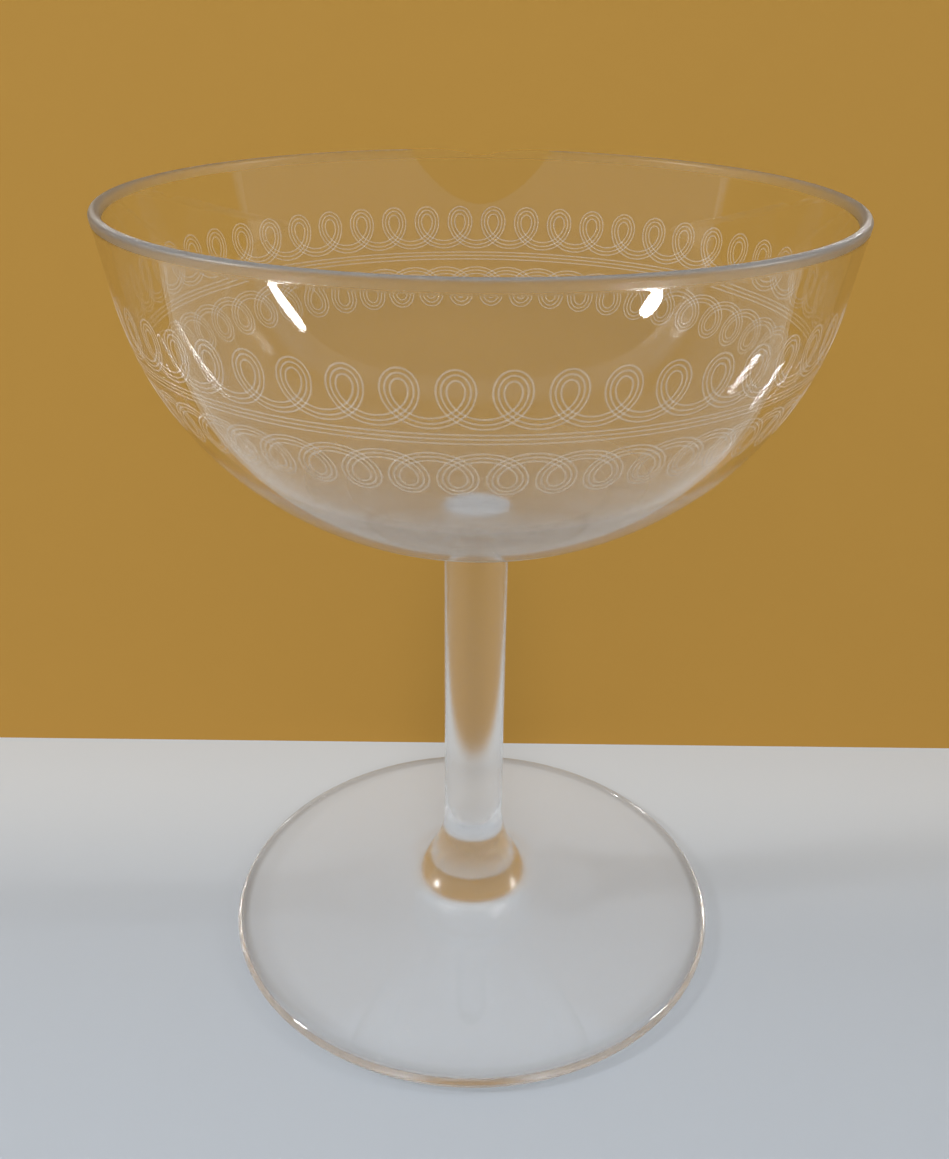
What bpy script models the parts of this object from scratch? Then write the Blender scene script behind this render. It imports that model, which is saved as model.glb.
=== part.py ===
# Liqueur glass: a blown coupe bowl on a plain round stem and a disc foot.
# Units are metres, +Z is up, and the origin is the middle of the surface it stands on.
import math

import bpy

# Overall size
OVERALL_HEIGHT = 0.0850
RIM_RADIUS = 0.0350
FOOT_RADIUS = 0.0288
STEM_RADIUS = 0.0034

# Bowl: half an ellipse of revolution under a straight, slightly flaring wall
BOWL_HALF_WIDTH = 0.03418
BOWL_HALF_HEIGHT = 0.03097
BOWL_CENTRE_HEIGHT = 0.08224
WALL_THICKNESS = 0.00165
FLOOR_THICKNESS = 0.0030
RIM_THICKNESS = 0.00095

# Stem: fillet under the bowl, and a cove that spreads onto the foot
FILLET_RADIUS = 0.0006
COVE_RADIUS = 0.0102
COVE_TOP_HEIGHT = 0.0144
COVE_BOTTOM_HEIGHT = 0.0051

# Foot: a low cone with a rounded edge, gently domed underneath inside its resting ring
FOOT_EDGE_THICKNESS = 0.0019
FOOT_EDGE_REACH = 0.0014
RESTING_RING_RADIUS = 0.0220
DOME_DEPTH = 0.00125

# Hot seams where the three gathers of glass were stuck together
BOWL_SEAM_HEIGHT = 0.0505
FOOT_SEAM_HEIGHT = 0.0075
SEAM_GAP = 0.0003

# Facets
WIDE_STEPS = 72
STEM_STEPS = 48
BOWL_CURVE_STEPS = 14
COVE_STEPS = 9
DOME_STEPS = 10
SMALL_CURVE_STEPS = 6
EDGE_STEPS = 8
POLE_MERGE = 0.00001


def clear_scene():
    for item in list(bpy.data.objects):
        bpy.data.objects.remove(item, do_unlink=True)


def elliptic_arc(centre, radii, start, end, steps):
    """Points of a half section, as (radius, height), along part of an ellipse."""
    points = []
    for step in range(steps + 1):
        angle = start + (end - start) * step / steps
        across = centre[0] + radii[0] * math.cos(angle)
        height = centre[1] + radii[1] * math.sin(angle)
        points.append((across, height))
    return points


def tangent_angle(half_width, half_height, reach, rise):
    """Angle on an ellipse, below its middle, whose tangent meets the point (reach, rise)."""
    across = reach / half_width
    up = rise / half_height
    turn = math.atan2(up, across) + math.asin(1.0 / math.hypot(across, up))
    return turn - math.pi / 2


def cove_arc(upper, lower, steps):
    """The part of the cove between two heights, from the top down."""
    centre = (COVE_RADIUS, COVE_TOP_HEIGHT)
    radii = (COVE_RADIUS - STEM_RADIUS, COVE_TOP_HEIGHT - COVE_BOTTOM_HEIGHT)
    start = math.pi + math.asin((COVE_TOP_HEIGHT - upper) / radii[1])
    end = math.pi + math.asin((COVE_TOP_HEIGHT - lower) / radii[1])
    return elliptic_arc(centre, radii, start, end, steps)


def fillet_centre():
    """Middle of the fillet's arc, below the bowl and outside the stem."""
    reach = STEM_RADIUS + FILLET_RADIUS
    depth = BOWL_HALF_HEIGHT * math.sqrt(1.0 - (reach / BOWL_HALF_WIDTH) ** 2)
    return reach, BOWL_CENTRE_HEIGHT - depth - FILLET_RADIUS


def cone_slope():
    """Fall of the foot's top, from the cove to the rounded edge."""
    run = FOOT_RADIUS - FOOT_EDGE_REACH - COVE_RADIUS
    return math.atan((COVE_BOTTOM_HEIGHT - FOOT_EDGE_THICKNESS) / run)


def cove_end():
    """Height at which the cove is as flat as the foot's cone and runs on into it."""
    across = COVE_RADIUS - STEM_RADIUS
    down = COVE_TOP_HEIGHT - COVE_BOTTOM_HEIGHT
    return COVE_TOP_HEIGHT - down * math.cos(math.atan(math.tan(cone_slope()) * across / down))


def dome_points():
    """Underside of the foot, from the resting ring up to the axis."""
    points = []
    for step in range(DOME_STEPS):
        share = step / DOME_STEPS
        rise = DOME_DEPTH * (0.5 - 0.5 * math.cos(math.pi * share))
        points.append((RESTING_RING_RADIUS * (1 - share), rise))
    return points + [(0.0, DOME_DEPTH)]


def glass_material(name):
    material = bpy.data.materials.new(name)
    material.use_nodes = True
    shader = material.node_tree.nodes["Principled BSDF"]
    shader.inputs["Base Color"].default_value = (0.95, 0.97, 0.97, 1.0)
    shader.inputs["Metallic"].default_value = 0.0
    shader.inputs["Roughness"].default_value = 0.03
    shader.inputs["IOR"].default_value = 1.52
    shader.inputs["Transmission Weight"].default_value = 1.0
    return material


def turned(name, profile, base_height, steps, parent, collection):
    """A solid of revolution whose half section runs from the axis, outside and down, to the axis."""
    points = [(across, 0.0, height - base_height) for across, height in profile]
    edges = [(index, index + 1) for index in range(len(points) - 1)]
    mesh = bpy.data.meshes.new(name)
    mesh.from_pydata(points, edges, [])
    mesh.materials.append(glass_material(name + "_glass"))
    piece = bpy.data.objects.new(name, mesh)
    collection.objects.link(piece)
    piece.parent = parent
    piece.location = (0.0, 0.0, base_height)
    screw = piece.modifiers.new("turn", "SCREW")
    screw.axis = "Z"
    screw.angle = 2 * math.pi
    screw.steps = steps
    screw.render_steps = steps
    screw.use_merge_vertices = True
    screw.merge_threshold = POLE_MERGE
    screw.use_smooth_shade = True
    return piece


def bowl_profile():
    """Up the inside from the floor, over the rounded rim and down the outside to the drawn button."""
    bead = RIM_THICKNESS / 2
    rim_centre = (RIM_RADIUS - bead, OVERALL_HEIGHT - bead)
    middle = (0.0, BOWL_CENTRE_HEIGHT)
    rise = rim_centre[1] - BOWL_CENTRE_HEIGHT
    outer_radii = (BOWL_HALF_WIDTH, BOWL_HALF_HEIGHT)
    outer_end = tangent_angle(*outer_radii, RIM_RADIUS, rise)
    top_of_curve = elliptic_arc(middle, outer_radii, outer_end, outer_end, 1)[0]
    lean = math.atan2(RIM_RADIUS - top_of_curve[0], rim_centre[1] - top_of_curve[1])

    inner_radii = (BOWL_HALF_WIDTH - WALL_THICKNESS, BOWL_HALF_HEIGHT - FLOOR_THICKNESS)
    inner_reach = rim_centre[0] - bead * math.cos(lean)
    inner_end = tangent_angle(*inner_radii, inner_reach, rise + bead * math.sin(lean))
    inside = elliptic_arc(middle, inner_radii, -math.pi / 2, inner_end, BOWL_CURVE_STEPS)
    inside[0] = (0.0, inside[0][1])
    rim = elliptic_arc(rim_centre, (bead, bead), math.pi - lean, -lean, SMALL_CURVE_STEPS)

    button_face = BOWL_SEAM_HEIGHT + SEAM_GAP / 2
    fillet_radii = (FILLET_RADIUS, FILLET_RADIUS)
    fillet = elliptic_arc(fillet_centre(), fillet_radii, math.pi / 2, math.pi, SMALL_CURVE_STEPS)
    fillet_start = -math.acos(fillet[0][0] / BOWL_HALF_WIDTH)
    outside = elliptic_arc(middle, outer_radii, outer_end, fillet_start, BOWL_CURVE_STEPS)
    return inside + rim + outside[:-1] + fillet + [(STEM_RADIUS, button_face), (0.0, button_face)]


def stem_profile():
    """Plain round rod with a spreading cove at its base."""
    head = BOWL_SEAM_HEIGHT - SEAM_GAP / 2
    base = FOOT_SEAM_HEIGHT + SEAM_GAP / 2
    cove = cove_arc(COVE_TOP_HEIGHT, base, COVE_STEPS)
    return [(0.0, head), (STEM_RADIUS, head)] + cove + [(0.0, base)]


def foot_profile():
    """Boss that takes the stem, low cone, rounded edge, resting ring and gently domed underside."""
    boss_face = FOOT_SEAM_HEIGHT - SEAM_GAP / 2
    edge_radii = (FOOT_EDGE_REACH, FOOT_EDGE_THICKNESS / 2)
    edge_centre = (FOOT_RADIUS - FOOT_EDGE_REACH, FOOT_EDGE_THICKNESS / 2)
    cove = cove_arc(boss_face, cove_end(), COVE_STEPS)
    edge_start = math.atan2(edge_radii[1], edge_radii[0] * math.tan(cone_slope()))
    rounded = elliptic_arc(edge_centre, edge_radii, edge_start, -math.pi / 2, EDGE_STEPS)
    return [(0.0, boss_face)] + cove + rounded + dome_points()


def main():
    clear_scene()
    collection = bpy.data.collections.new("liqueur_glass")
    bpy.context.scene.collection.children.link(collection)
    stand = bpy.data.objects.new("liqueur_glass_origin", None)
    collection.objects.link(stand)

    turned("foot", foot_profile(), 0.0, WIDE_STEPS, stand, collection)
    turned("stem", stem_profile(), FOOT_SEAM_HEIGHT, STEM_STEPS, stand, collection)
    turned("bowl", bowl_profile(), BOWL_SEAM_HEIGHT, WIDE_STEPS, stand, collection)


main()
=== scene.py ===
import math

import bmesh
import bpy
from mathutils import Matrix, Vector


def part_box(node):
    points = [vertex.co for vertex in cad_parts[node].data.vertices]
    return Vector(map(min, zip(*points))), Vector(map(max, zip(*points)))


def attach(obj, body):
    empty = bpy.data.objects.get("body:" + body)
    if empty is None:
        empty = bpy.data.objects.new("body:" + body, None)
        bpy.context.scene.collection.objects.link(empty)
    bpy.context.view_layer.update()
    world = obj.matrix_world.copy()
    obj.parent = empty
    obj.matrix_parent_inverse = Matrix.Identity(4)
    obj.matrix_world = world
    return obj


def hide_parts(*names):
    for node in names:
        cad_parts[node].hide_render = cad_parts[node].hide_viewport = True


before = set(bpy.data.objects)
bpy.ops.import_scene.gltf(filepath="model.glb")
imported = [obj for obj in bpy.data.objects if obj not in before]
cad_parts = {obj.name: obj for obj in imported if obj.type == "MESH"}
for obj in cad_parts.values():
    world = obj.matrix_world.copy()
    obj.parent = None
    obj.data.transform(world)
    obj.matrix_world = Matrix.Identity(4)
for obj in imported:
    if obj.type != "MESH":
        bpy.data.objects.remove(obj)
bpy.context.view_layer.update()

print("frame loaded", sorted(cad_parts))

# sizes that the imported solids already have
bowlLow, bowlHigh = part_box("bowl")
stemLow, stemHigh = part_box("stem")
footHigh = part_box("foot")[1]
rimRadius = bowlHigh.x
rimHeight = bowlHigh.z
footRadius = footHigh.x
bowlSeam = (bowlLow.z + stemHigh.z) / 2  # the hot seam under the bowl
footSeam = (stemLow.z + footHigh.z) / 2  # the hot seam on the foot's boss

bowlShape = {
    "halfWidth": 0.03418,
    "halfHeight": 0.03097,
    "centreHeight": 0.08224,
    "wall": 0.00095,
    "floor": 0.0030,
    "thickFrom": math.radians(-36),
    "rim": 0.00095,
    "fineReach": 0.0010,
    "curveSteps": 64,
    "wallSteps": 10,
    "rimSteps": 12,
}
stemShape = {
    "radius": 0.0034,
    "fillet": 0.0006,
    "flareTop": 0.0144,
    "filletSearch": (0.0, 0.5),
    "searchSteps": 40,
    "filletSteps": 8,
    "rodSteps": 12,
    "flareSteps": 28,
}
footShape = {
    "edge": 0.0019,
    "edgeReach": 0.0014,
    "bossRadius": 0.0102,
    "bossHeight": 0.0051,
    "restRing": 0.0220,
    "hollowDepth": 0.00125,
    "edgeSteps": 14,
    "topSteps": 24,
    "hollowSteps": 32,
}
turnSteps = 256
weldDistance = 1e-7
sharpAngle = math.radians(30)


def arcPoints(centre, radii, start, end, steps):
    # half-section points along part of an ellipse
    points = []
    for step in range(steps + 1):
        angle = start + (end - start) * step / steps
        points.append((centre[0] + radii[0] * math.cos(angle), centre[1] + radii[1] * math.sin(angle)))
    return points


def linePoints(start, end, steps):
    # the inner points of a straight stretch
    points = []
    for step in range(1, steps):
        share = step / steps
        points.append((start[0] + (end[0] - start[0]) * share, start[1] + (end[1] - start[1]) * share))
    return points


def tangentAngle(radii, reach, rise):
    # where a line from a point outside touches the lower half of an ellipse
    across = reach / radii[0]
    up = rise / radii[1]
    return math.atan2(up, across) + math.asin(1 / math.hypot(across, up)) - math.pi / 2


def wallStart():
    # angle and place at which the bowl's curved outside runs on into the straight flaring wall
    rise = rimHeight - bowlShape["rim"] / 2 - bowlShape["centreHeight"]
    end = tangentAngle((bowlShape["halfWidth"], bowlShape["halfHeight"]), rimRadius, rise)
    across = bowlShape["halfWidth"] * math.cos(end)
    return end, (across, bowlShape["centreHeight"] + bowlShape["halfHeight"] * math.sin(end))


def outerRadius(height):
    # radius of the bowl's outside: ellipse below, straight flaring wall above
    touch = wallStart()[1]
    if height <= touch[1]:
        drop = (height - bowlShape["centreHeight"]) / bowlShape["halfHeight"]
        return bowlShape["halfWidth"] * math.sqrt(1 - drop * drop)
    slope = (rimRadius - touch[0]) / (rimHeight - bowlShape["rim"] / 2 - touch[1])
    return touch[0] + (height - touch[1]) * slope


def filletPlace():
    # angle on the bowl, centre and start angle of the fillet that touches both bowl and stem
    low, high = stemShape["filletSearch"]
    for attempt in range(stemShape["searchSteps"]):
        turn = (low + high) / 2
        normal = Vector((bowlShape["halfHeight"] * math.sin(turn), -bowlShape["halfWidth"] * math.cos(turn)))
        normal.normalize()
        touch = Vector((
            bowlShape["halfWidth"] * math.sin(turn),
            bowlShape["centreHeight"] - bowlShape["halfHeight"] * math.cos(turn),
        ))
        centre = touch + normal * stemShape["fillet"]
        if centre.x < stemShape["radius"] + stemShape["fillet"]:
            low = turn
        else:
            high = turn
    return turn, centre, math.atan2(-normal.y, -normal.x)


def footSlope():
    run = footRadius - footShape["edgeReach"] - footShape["bossRadius"]
    return math.atan((footShape["bossHeight"] - footShape["edge"]) / run)


def flarePoints(upper, lower):
    # spreading base of the stem, a quarter of an ellipse, between two heights
    centre = (footShape["bossRadius"], stemShape["flareTop"])
    radii = (footShape["bossRadius"] - stemShape["radius"], stemShape["flareTop"] - footShape["bossHeight"])
    angles = [math.pi + math.asin((centre[1] - height) / radii[1]) for height in (upper, lower)]
    return arcPoints(centre, radii, angles[0], angles[1], stemShape["flareSteps"])


def flareEnd():
    # height at which the flare is as flat as the foot's cone and runs on into it
    across = footShape["bossRadius"] - stemShape["radius"]
    down = stemShape["flareTop"] - footShape["bossHeight"]
    return stemShape["flareTop"] - down * math.cos(math.atan(math.tan(footSlope()) * across / down))


def innerPoint(angle):
    # the inside follows the outside at an even wall, and the wall thickens towards the floor
    start = bowlShape["thickFrom"]
    share = min(1.0, max(0.0, (start - angle) / (start + math.pi / 2)))
    eased = share * share * (3 - 2 * share)
    thickness = bowlShape["wall"] + (bowlShape["floor"] - bowlShape["wall"]) * eased
    normal = Vector((bowlShape["halfHeight"] * math.cos(angle), bowlShape["halfWidth"] * math.sin(angle)))
    normal.normalize()
    return (
        bowlShape["halfWidth"] * math.cos(angle) - normal.x * thickness,
        bowlShape["centreHeight"] + bowlShape["halfHeight"] * math.sin(angle) - normal.y * thickness,
    )


def bowlProfile():
    # up the inside, over the rim, down the outside to the seam
    bead = bowlShape["rim"] / 2
    rimCentre = (rimRadius - bead, rimHeight - bead)
    middle = (0.0, bowlShape["centreHeight"])
    outerRadii = (bowlShape["halfWidth"], bowlShape["halfHeight"])
    end, touch = wallStart()
    lean = math.atan2(rimRadius - touch[0], rimCentre[1] - touch[1])
    steps = bowlShape["curveSteps"]
    inside = [innerPoint(-math.pi / 2 + (end + math.pi / 2) * step / steps) for step in range(steps + 1)]
    inside[0] = (0.0, inside[0][1])
    rim = arcPoints(rimCentre, (bead, bead), math.pi - lean, -lean, bowlShape["rimSteps"])
    run = math.hypot(rimRadius - touch[0], rimCentre[1] - touch[1]) - bowlShape["fineReach"]
    fineStart = (inside[-1][0] + run * math.sin(lean), inside[-1][1] + run * math.cos(lean))
    turn, centre, meet = filletPlace()
    outside = arcPoints(middle, outerRadii, end, turn - math.pi / 2, steps)
    filletRadii = (stemShape["fillet"], stemShape["fillet"])
    fillet = arcPoints(centre, filletRadii, meet, math.pi, stemShape["filletSteps"])
    innerWall = linePoints(inside[-1], fineStart, bowlShape["wallSteps"]) + [fineStart]
    innerWall += linePoints(fineStart, rim[0], bowlShape["wallSteps"])  # finer just under the rim
    outerWall = linePoints(rim[-1], outside[0], bowlShape["wallSteps"])
    button = [(stemShape["radius"], bowlSeam), (0.0, bowlSeam)]
    return inside + innerWall + rim + outerWall + outside[:-1] + fillet + button


def stemProfile():
    head = (stemShape["radius"], bowlSeam)
    flare = flarePoints(stemShape["flareTop"], footSeam)
    rod = linePoints(head, flare[0], stemShape["rodSteps"])
    return [(0.0, bowlSeam), head] + rod + flare + [(0.0, footSeam)]


def footProfile():
    half = footShape["edge"] / 2
    reach = footShape["edgeReach"]
    boss = flarePoints(footSeam, flareEnd())
    edgeStart = math.atan2(half, reach * math.tan(footSlope()))
    edgeCentre = (footRadius - reach, half)
    edge = arcPoints(edgeCentre, (reach, half), edgeStart, -math.pi / 2, footShape["edgeSteps"])
    top = linePoints(boss[-1], edge[0], footShape["topSteps"])
    hollow = []
    for step in range(footShape["hollowSteps"]):
        share = step / footShape["hollowSteps"]
        across = footShape["restRing"] * (1 - share)
        hollow.append((across, footShape["hollowDepth"] * (0.5 - 0.5 * math.cos(math.pi * share))))
    return [(0.0, footSeam)] + boss + top + edge + hollow + [(0.0, footShape["hollowDepth"])]


def newPiece(name, bm, materials):
    mesh = bpy.data.meshes.new(name)
    bm.to_mesh(mesh)
    bm.free()
    for material in materials:
        mesh.materials.append(material)
    piece = bpy.data.objects.new(name, mesh)
    bpy.context.scene.collection.objects.link(piece)
    return piece


def turnedPiece(name, profile, seams, glass):
    # a closed glass body; the discs on its hot seams take the fused finish
    bm = bmesh.new()
    verts = [bm.verts.new((across, 0.0, height)) for across, height in profile]
    edges = [bm.edges.new(pair) for pair in zip(verts, verts[1:])]
    bmesh.ops.spin(
        bm, geom=verts + edges, axis=(0, 0, 1), cent=(0, 0, 0),
        angle=2 * math.pi, steps=turnSteps, use_merge=True,
    )
    bmesh.ops.remove_doubles(bm, verts=bm.verts, dist=weldDistance)
    bmesh.ops.recalc_face_normals(bm, faces=bm.faces)
    for face in bm.faces:
        onSeam = any(all(abs(v.co.z - seam) < weldDistance for v in face.verts) for seam in seams)
        face.material_index = 1 if onSeam else 0
    piece = newPiece(name, bm, (glass, fusedSeam))
    piece.data.shade_smooth()
    piece.data.set_sharp_from_angle(angle=sharpAngle)
    return piece


etchedBand = {
    "loops": 52,
    "phase": math.radians(-2.76),
    "lineWidth": 0.00017,
    "lift": 0.000008,
    "crown": 0.000010,
    "depth": 0.000020,
    "stepsPerLoop": 40,
    "upperHeight": 0.07610,
    "upperReaches": (0.00236, 0.00197, 0.00153),
    "lowerHeight": 0.06955,
    "lowerReaches": (0.00204, 0.00168, 0.00130),
    "lowerAcross": 1.20,
    "ringHeights": (0.07326, 0.07288, 0.07248),
    "ringSteps": 360,
}


def wallFrame(angle, height):
    # a point on the bowl's outside and the outward direction there
    nudge = 0.00001
    slope = (outerRadius(height + nudge) - outerRadius(height - nudge)) / (2 * nudge)
    outward = Vector((math.sin(angle), -math.cos(angle), -slope)).normalized()
    across = outerRadius(height)
    return Vector((across * math.sin(angle), -across * math.cos(angle), height)), outward


def etchLine(bm, path):
    # one closed line of the needle: a shallow lens section carried round the bowl
    half = etchedBand["lineWidth"] / 2
    frames = [wallFrame(angle, height) for angle, height in path]
    rings = []
    for index, (point, outward) in enumerate(frames):
        along = frames[(index + 1) % len(frames)][0] - frames[index - 1][0]
        side = outward.cross(along).normalized() * half
        rings.append([
            bm.verts.new(point + side + outward * etchedBand["lift"]),
            bm.verts.new(point + outward * (etchedBand["lift"] + etchedBand["crown"])),
            bm.verts.new(point - side + outward * etchedBand["lift"]),
            bm.verts.new(point - outward * etchedBand["depth"]),
        ])
    for index, ring in enumerate(rings):
        ahead = rings[(index + 1) % len(rings)]
        for corner in range(4):
            following = (corner + 1) % 4
            bm.faces.new((ring[corner], ring[following], ahead[following], ahead[corner]))


def scrollPath(height, reach, across, upward):
    # looping scroll: a point on a circle that rolls along the band
    loops, perLoop = etchedBand["loops"], etchedBand["stepsPerLoop"]
    swing = across / outerRadius(height)
    path = []
    for step in range(loops * perLoop):
        turn = 2 * math.pi * step / perLoop + math.pi
        angle = etchedBand["phase"] + (turn - math.pi) / loops + swing * math.sin(turn)
        path.append((angle, height - upward * reach * math.cos(turn)))
    return path


def etchedPiece(name, paths, finish):
    bm = bmesh.new()
    for path in paths:
        etchLine(bm, path)
    bmesh.ops.recalc_face_normals(bm, faces=bm.faces)
    piece = newPiece(name, bm, (finish,))
    piece.data.shade_smooth()
    return piece


def newMaterial(name):
    material = bpy.data.materials.new(name)
    material.use_nodes = True
    return material, material.node_tree.nodes, material.node_tree.links


glassFinish = {
    "tint": (0.982, 0.992, 1.0, 1.0),
    "ior": 1.52,
    "smudgeScale": 70.0,
    "smudgeDetail": 3.0,
    "smudgeRange": (0.48, 0.78),
    "smudgeRoughness": 0.02,
    "rippleStretch": (60.0, 60.0, 420.0),
    "rippleDetail": 1.0,
    "rippleDepth": 0.000002,
    "facingBlend": 0.5,
    "grazingPower": 5.0,
}
# dull spans run from the height where the haze starts to the height where it is full
bowlFinish = {
    "transmission": 1.0,
    "haze": 0.0,
    "dullSpans": (((0.0720, 0.0530), 0.18), ((0.0575, 0.0548), 0.20), ((0.0837, 0.0842), 0.35)),
    "faceShade": 1.0,
    "grazingShade": 0.9,
}
stemFinish = {
    "transmission": 0.985,
    "haze": 0.18,
    "dullSpans": (),
    "faceShade": 0.75,
    "grazingShade": 0.4,
}
footFinish = {
    "transmission": 0.96,
    "haze": 0.0,
    "dullSpans": (((0.0006, 0.0001), 0.12), ((0.0034, 0.0050), 0.20)),
    "faceShade": 1.0,
    "grazingShade": 0.4,
    "edgeRadii": (0.0270, 0.0279),
    # painted shade: grey tint on the foot's edge
    "edgePaintedShade": (0.82, 0.81, 0.80, 1.0),
    "edgeShade": 0.80,
}


def blownSurface():
    # shared effect: faint smudges and the soft ripple of hand-worked glass
    group = bpy.data.node_groups.new("blownSurface", "ShaderNodeTree")
    group.interface.new_socket("Place", in_out="INPUT", socket_type="NodeSocketVector")
    group.interface.new_socket("Smudge", in_out="OUTPUT", socket_type="NodeSocketFloat")
    group.interface.new_socket("Ripple", in_out="OUTPUT", socket_type="NodeSocketFloat")
    nodes, links = group.nodes, group.links
    entry = nodes.new("NodeGroupInput")
    leave = nodes.new("NodeGroupOutput")
    cloud = nodes.new("ShaderNodeTexNoise")
    cloud.inputs["Scale"].default_value = glassFinish["smudgeScale"]
    cloud.inputs["Detail"].default_value = glassFinish["smudgeDetail"]
    patches = nodes.new("ShaderNodeMapRange")
    patches.inputs["From Min"].default_value = glassFinish["smudgeRange"][0]
    patches.inputs["From Max"].default_value = glassFinish["smudgeRange"][1]
    stretch = nodes.new("ShaderNodeVectorMath")
    stretch.operation = "MULTIPLY"
    stretch.inputs[1].default_value = glassFinish["rippleStretch"]
    swell = nodes.new("ShaderNodeTexNoise")
    swell.inputs["Scale"].default_value = 1.0
    swell.inputs["Detail"].default_value = glassFinish["rippleDetail"]
    links.new(entry.outputs["Place"], cloud.inputs["Vector"])
    links.new(cloud.outputs["Fac"], patches.inputs["Value"])
    links.new(patches.outputs["Result"], leave.inputs["Smudge"])
    links.new(entry.outputs["Place"], stretch.inputs[0])
    links.new(stretch.outputs["Vector"], swell.inputs["Vector"])
    links.new(swell.outputs["Fac"], leave.inputs["Ripple"])
    return group


def axisDistance(nodes, links, coordinates):
    flat = nodes.new("ShaderNodeVectorMath")
    flat.operation = "MULTIPLY"
    flat.inputs[1].default_value = (1.0, 1.0, 0.0)
    reach = nodes.new("ShaderNodeVectorMath")
    reach.operation = "LENGTH"
    links.new(coordinates, flat.inputs[0])
    links.new(flat.outputs["Vector"], reach.inputs[0])
    return reach.outputs["Value"]


def spanMask(nodes, links, value, span):
    mask = nodes.new("ShaderNodeMapRange")
    mask.interpolation_type = "SMOOTHSTEP"
    mask.inputs["From Min"].default_value = span[0]
    mask.inputs["From Max"].default_value = span[1]
    links.new(value, mask.inputs["Value"])
    return mask.outputs["Result"]


def colourBlend(nodes, links, first, second, mask):
    blend = nodes.new("ShaderNodeMix")
    blend.data_type = "RGBA"
    blend.inputs["A"].default_value = first
    blend.inputs["B"].default_value = second
    links.new(mask, blend.inputs["Factor"])
    return blend


def clearGlass(name, finish):
    material, nodes, links = newMaterial(name)
    shader = nodes["Principled BSDF"]
    shader.inputs["Base Color"].default_value = glassFinish["tint"]
    shader.inputs["IOR"].default_value = glassFinish["ior"]
    shader.inputs["Transmission Weight"].default_value = finish["transmission"]
    coordinates = nodes.new("ShaderNodeTexCoord").outputs["Object"]
    split = nodes.new("ShaderNodeSeparateXYZ")
    links.new(coordinates, split.inputs["Vector"])

    # smudges, and the hazy or worn stretches of the piece, dull the surface a little
    surface = nodes.new("ShaderNodeGroup")
    surface.node_tree = surfaceGroup
    links.new(coordinates, surface.inputs["Place"])
    smudge = nodes.new("ShaderNodeMath")
    smudge.operation = "MULTIPLY_ADD"
    smudge.inputs[1].default_value = glassFinish["smudgeRoughness"]
    smudge.inputs[2].default_value = finish["haze"]
    links.new(surface.outputs["Smudge"], smudge.inputs[0])
    roughness = smudge.outputs["Value"]
    for heights, amount in finish["dullSpans"]:
        layer = nodes.new("ShaderNodeMath")
        layer.operation = "MULTIPLY_ADD"
        layer.inputs[1].default_value = amount
        links.new(spanMask(nodes, links, split.outputs["Z"], heights), layer.inputs[0])
        links.new(roughness, layer.inputs[2])
        roughness = layer.outputs["Value"]
    links.new(roughness, shader.inputs["Roughness"])
    bump = nodes.new("ShaderNodeBump")
    bump.inputs["Distance"].default_value = glassFinish["rippleDepth"]
    links.new(surface.outputs["Ripple"], bump.inputs["Height"])
    links.new(bump.outputs["Normal"], shader.inputs["Normal"])

    # lamplight passes the faces and is turned away at grazing places
    facing = nodes.new("ShaderNodeLayerWeight")
    facing.inputs["Blend"].default_value = glassFinish["facingBlend"]
    grazing = nodes.new("ShaderNodeMath")
    grazing.operation = "POWER"
    grazing.inputs[1].default_value = glassFinish["grazingPower"]
    links.new(facing.outputs["Facing"], grazing.inputs[0])
    shade = nodes.new("ShaderNodeMapRange")
    shade.inputs["To Min"].default_value = finish["faceShade"]
    shade.inputs["To Max"].default_value = finish["grazingShade"]
    links.new(grazing.outputs["Value"], shade.inputs["Value"])
    passing = shade.outputs["Result"]

    # painted shade: the foot's edge is tinted grey to stand in for the shade seen through it, and there the
    # glass also holds some lamplight back
    if "edgePaintedShade" in finish:
        edge = spanMask(nodes, links, axisDistance(nodes, links, coordinates), finish["edgeRadii"])
        tint = colourBlend(nodes, links, glassFinish["tint"], finish["edgePaintedShade"], edge)
        links.new(tint.outputs["Result"], shader.inputs["Base Color"])
        held = nodes.new("ShaderNodeMapRange")
        held.inputs["To Min"].default_value = 1.0
        held.inputs["To Max"].default_value = finish["edgeShade"]
        links.new(edge, held.inputs["Value"])
        both = nodes.new("ShaderNodeMath")
        both.operation = "MULTIPLY"
        links.new(passing, both.inputs[0])
        links.new(held.outputs["Result"], both.inputs[1])
        passing = both.outputs["Value"]
    through = nodes.new("ShaderNodeBsdfTransparent")
    links.new(passing, through.inputs["Color"])
    rays = nodes.new("ShaderNodeLightPath")
    shown = shader.outputs["BSDF"]
    for ray in ("Is Diffuse Ray", "Is Shadow Ray"):
        mix = nodes.new("ShaderNodeMixShader")
        links.new(rays.outputs[ray], mix.inputs["Fac"])
        links.new(shown, mix.inputs[1])
        links.new(through.outputs["BSDF"], mix.inputs[2])
        shown = mix.outputs["Shader"]
    links.new(shown, nodes["Material Output"].inputs["Surface"])
    return material


def fusedGlass():
    # the welded discs inside the stem's ends can't be seen in the real glass
    material = newMaterial("fusedSeam")[0]
    material.node_tree.nodes["Principled BSDF"].inputs["Alpha"].default_value = 0.0
    return material


etchFinish = {
    "base": (0.96, 0.94, 0.90, 1.0),
    "alpha": 0.115,
    "roughness": (0.35, 0.65),
    "patchScale": 900.0,
    "patchRange": (0.3, 0.7),
}


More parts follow.
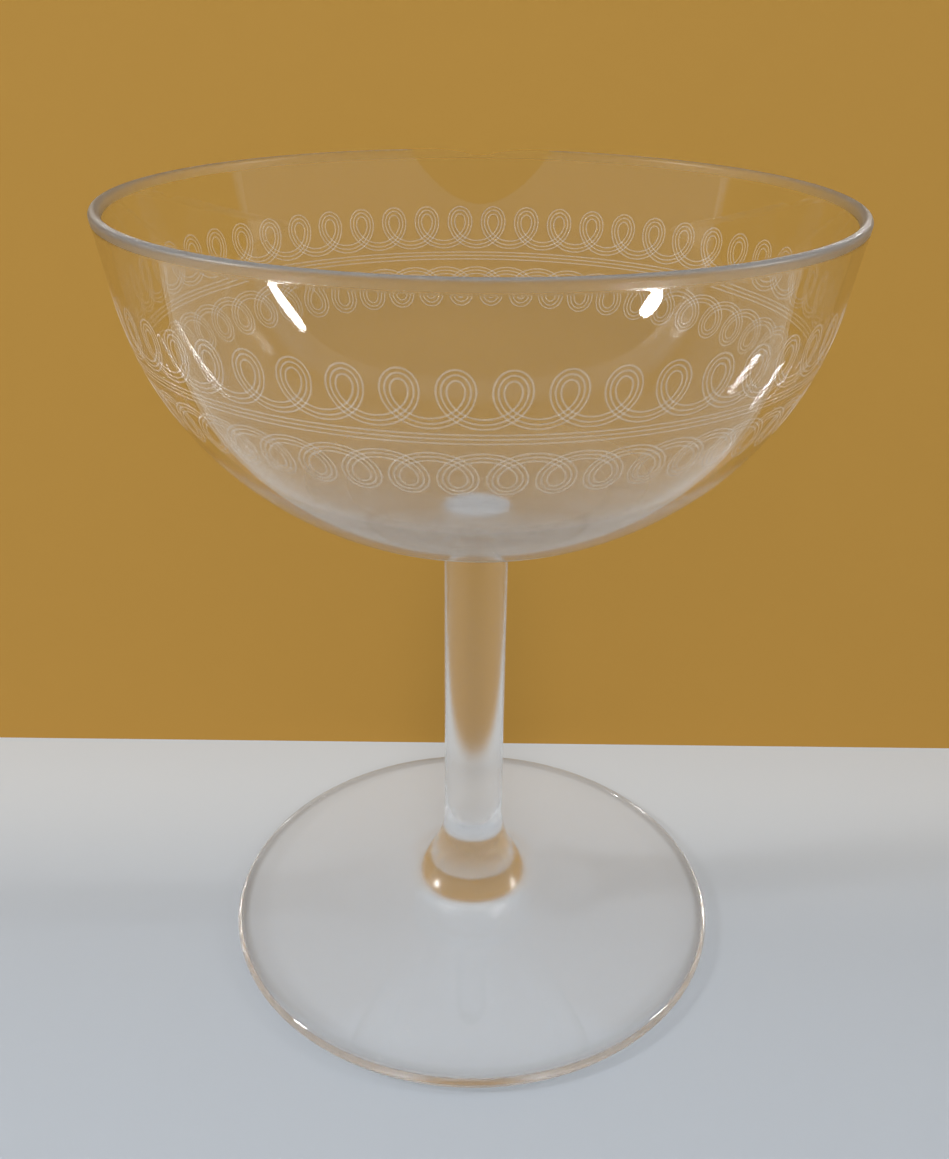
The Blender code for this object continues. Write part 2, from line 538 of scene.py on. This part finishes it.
def frostedLines():
    material, nodes, links = newMaterial("needleEtching")
    shader = nodes["Principled BSDF"]
    shader.inputs["Base Color"].default_value = etchFinish["base"]
    shader.inputs["IOR"].default_value = glassFinish["ior"]
    shader.inputs["Alpha"].default_value = etchFinish["alpha"]
    bite = nodes.new("ShaderNodeTexNoise")  # the acid bit some stretches deeper than others
    bite.inputs["Scale"].default_value = etchFinish["patchScale"]
    links.new(nodes.new("ShaderNodeTexCoord").outputs["Object"], bite.inputs["Vector"])
    spread = nodes.new("ShaderNodeMapRange")
    spread.inputs["From Min"].default_value = etchFinish["patchRange"][0]
    spread.inputs["From Max"].default_value = etchFinish["patchRange"][1]
    spread.inputs["To Min"].default_value = etchFinish["roughness"][0]
    spread.inputs["To Max"].default_value = etchFinish["roughness"][1]
    links.new(bite.outputs["Fac"], spread.inputs["Value"])
    links.new(spread.outputs["Result"], shader.inputs["Roughness"])
    return material


surfaceGroup = blownSurface()
fusedSeam = fusedGlass()
bowl = turnedPiece("glass_bowl", bowlProfile(), (bowlSeam,), clearGlass("bowlGlass", bowlFinish))
stem = turnedPiece("glass_stem", stemProfile(), (bowlSeam, footSeam), clearGlass("stemGlass", stemFinish))
foot = turnedPiece("glass_foot", footProfile(), (footSeam,), clearGlass("footGlass", footFinish))
for piece, node in ((bowl, "bowl"), (stem, "stem"), (foot, "foot")):
    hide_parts(node)
print("glass turned", len(bowl.data.polygons), len(stem.data.polygons), len(foot.data.polygons))

etching = frostedLines()
upperPaths = [scrollPath(etchedBand["upperHeight"], reach, reach, 1) for reach in etchedBand["upperReaches"]]
lowerPaths = [
    scrollPath(etchedBand["lowerHeight"], reach, reach * etchedBand["lowerAcross"], -1)
    for reach in etchedBand["lowerReaches"]
]
ringPaths = [
    [(2 * math.pi * step / etchedBand["ringSteps"], height) for step in range(etchedBand["ringSteps"])]
    for height in etchedBand["ringHeights"]
]
etched = [
    etchedPiece("etched_upper_scroll", upperPaths, etching),
    etchedPiece("etched_ring_lines", ringPaths, etching),
    etchedPiece("etched_lower_scroll", lowerPaths, etching),
]
print("band etched", [len(piece.data.polygons) for piece in etched])

for piece in [bowl, stem, foot] + etched:
    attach(piece, "root")

stageLook = {
    "size": 3.0,
    "roughness": 0.9,
    "gloss": 0.1,
    "floorDrop": 0.0001,
    "floorColour": (0.465, 0.515, 0.575, 1.0),
    # painted light: the floor is painted paler towards the backdrop
    "floorPaintedLight": (0.61, 0.66, 0.71, 1.0),
    "floorPaintedLightSpan": (-0.008, 0.026),
    "floorShade": (0.16, 0.14, 0.13, 1.0),
    "floorFade": (-0.06, -0.11),
    "wallPlace": 0.034,
    "wallColour": (0.50, 0.275, 0.058, 1.0),
    "wallUpper": (0.80, 0.82, 0.85, 1.0),
    "wallFade": (0.104, 0.125),
    "skyColour": (1.0, 0.99, 0.97, 1.0),
    "skyStrength": 0.12,
    "glassStrength": 0.75,
    "farStrength": 0.60,
}


def stagePlane(name, matrix):
    # a wide matt plane; gives back its nodes, its links and its split coordinates
    bm = bmesh.new()
    bmesh.ops.create_grid(bm, x_segments=1, y_segments=1, size=stageLook["size"] / 2, matrix=matrix)
    material, nodes, links = newMaterial(name)
    shader = nodes["Principled BSDF"]
    shader.inputs["Roughness"].default_value = stageLook["roughness"]
    shader.inputs["Specular IOR Level"].default_value = stageLook["gloss"]
    split = nodes.new("ShaderNodeSeparateXYZ")
    links.new(nodes.new("ShaderNodeTexCoord").outputs["Object"], split.inputs["Vector"])
    newPiece(name, bm, (material,))
    return nodes, links, split.outputs


def stageFloor():
    nodes, links, place = stagePlane("floor", Matrix.Translation((0, 0, -stageLook["floorDrop"])))
    front = nodes.new("ShaderNodeMath")  # what the glass mirrors of the floor in front is in shade
    front.operation = "MULTIPLY"
    front.use_clamp = True
    links.new(spanMask(nodes, links, place["Y"], stageLook["floorFade"]), front.inputs[0])
    links.new(nodes.new("ShaderNodeLightPath").outputs["Glossy Depth"], front.inputs[1])
    colour = stageLook["floorColour"]
    back = spanMask(nodes, links, place["Y"], stageLook["floorPaintedLightSpan"])
    paintedLightColour = colourBlend(nodes, links, colour, stageLook["floorPaintedLight"], back)  # painted light: the floor is painted palest along the backdrop
    shade = colourBlend(nodes, links, colour, stageLook["floorShade"], front.outputs["Value"])
    links.new(paintedLightColour.outputs["Result"], shade.inputs["A"])
    links.new(shade.outputs["Result"], nodes["Principled BSDF"].inputs["Base Color"])


def stageBackdrop():
    upright = Matrix.Translation((0, stageLook["wallPlace"], stageLook["size"] / 2))
    upright = upright @ Matrix.Rotation(math.pi / 2, 4, "X")
    nodes, links, place = stagePlane("backdrop", upright)
    upper = spanMask(nodes, links, place["Z"], stageLook["wallFade"])  # pale above the glass
    blend = colourBlend(nodes, links, stageLook["wallColour"], stageLook["wallUpper"], upper)
    links.new(blend.outputs["Result"], nodes["Principled BSDF"].inputs["Base Color"])
    clear = nodes.new("ShaderNodeBsdfTransparent")  # not there when seen from behind
    mix = nodes.new("ShaderNodeMixShader")
    links.new(nodes.new("ShaderNodeNewGeometry").outputs["Backfacing"], mix.inputs["Fac"])
    links.new(nodes["Principled BSDF"].outputs["BSDF"], mix.inputs[1])
    links.new(clear.outputs["BSDF"], mix.inputs[2])
    links.new(mix.outputs["Shader"], nodes["Material Output"].inputs["Surface"])


def studioSky():
    # a dim room that looks paler through the glass and from the camera
    world = bpy.data.worlds.new("studio")
    world.use_nodes = True
    nodes, links = world.node_tree.nodes, world.node_tree.links
    rays = nodes.new("ShaderNodeLightPath")
    glass = nodes.new("ShaderNodeMix")
    glass.inputs["A"].default_value = stageLook["skyStrength"]
    glass.inputs["B"].default_value = stageLook["glassStrength"]
    far = nodes.new("ShaderNodeMix")
    far.inputs["B"].default_value = stageLook["farStrength"]
    links.new(rays.outputs["Is Transmission Ray"], glass.inputs["Factor"])
    links.new(glass.outputs["Result"], far.inputs["A"])
    links.new(rays.outputs["Is Camera Ray"], far.inputs["Factor"])
    links.new(far.outputs["Result"], nodes["Background"].inputs["Strength"])
    nodes["Background"].inputs["Color"].default_value = stageLook["skyColour"]
    return world


stageFloor()
stageBackdrop()
scene = bpy.context.scene
scene.world = studioSky()

rightLamp = {
    "turn": math.radians(87),  # from straight ahead of the camera, to the right
    "rise": math.radians(34),
    "distance": 1.0,
    "width": 0.25,
    "height": 0.25,
    "power": 1.55,
    "seen": False,
}
leftLamp = {
    "turn": math.radians(-99),
    "rise": math.radians(36.5),
    "distance": 1.0,
    "width": 0.25,
    "height": 0.25,
    "power": 2.2,
    "seen": False,
}
fillLamp = {
    "turn": math.radians(180),
    "rise": math.radians(35),
    "distance": 1.2,
    "width": 0.6,
    "height": 0.6,
    "power": 7.8,
    "seen": False,
}
rightGlint = dict(rightLamp, distance=0.8, width=0.07, height=0.25, power=1.8, seen=True)
leftGlint = dict(leftLamp, distance=0.8, width=0.065, height=0.13, power=1.4, seen=True)
lampAim = Vector((0, 0, 0.05))


def areaLamp(name, settings):
    # a lamp that isn't seen gives light and leaves no spot in the glass
    turn = settings["turn"]
    reach = settings["distance"] * math.cos(settings["rise"])
    height = settings["distance"] * math.sin(settings["rise"])
    light = bpy.data.lights.new(name, "AREA")
    light.shape = "ELLIPSE"
    light.size = settings["width"]
    light.size_y = settings["height"]
    light.energy = settings["power"]
    lamp = bpy.data.objects.new(name, light)
    lamp.location = (reach * math.sin(turn), reach * math.cos(turn), height)
    lamp.rotation_euler = (lampAim - lamp.location).to_track_quat("-Z", "Y").to_euler()
    lamp.visible_camera = False
    lamp.visible_glossy = settings["seen"]
    lamp.visible_transmission = settings["seen"]
    scene.collection.objects.link(lamp)


areaLamp("rightLamp", rightLamp)
areaLamp("leftLamp", leftLamp)
areaLamp("fillLamp", fillLamp)
areaLamp("rightGlint", rightGlint)
areaLamp("leftGlint", leftGlint)
print("stage and lamps set")

photoCamera = {
    "imageHeight": 1159,
    "focalPixels": 1167.9,
    "sensor": 36.0,
    "nearClip": 0.001,
    "place": (-0.00016, -0.11269, 0.10213),
    "pitch": math.radians(26.88),
    "roll": math.radians(0.66),
}
cameraData = bpy.data.cameras.new("photoCamera")
cameraData.sensor_width = photoCamera["sensor"]
cameraData.lens = photoCamera["sensor"] * photoCamera["focalPixels"] / photoCamera["imageHeight"]
cameraData.clip_start = photoCamera["nearClip"]
camera = bpy.data.objects.new("photoCamera", cameraData)
scene.collection.objects.link(camera)
camera.matrix_world = (
    Matrix.Translation(photoCamera["place"])
    @ Matrix.Rotation(math.pi / 2 - photoCamera["pitch"], 4, "X")
    @ Matrix.Rotation(photoCamera["roll"], 4, "Z")
)
scene.camera = camera
scene.view_settings.view_transform = "Standard"
scene.cycles.sample_clamp_indirect = 0.0  # keeps the lamps' images white where they show through the glass
scene.cycles.max_bounces = 32  # light turns many times inside the rim and the foot's edge
scene.cycles.glossy_bounces = 24
scene.cycles.transmission_bounces = 32
scene.cycles.transparent_max_bounces = 32
print("camera set")
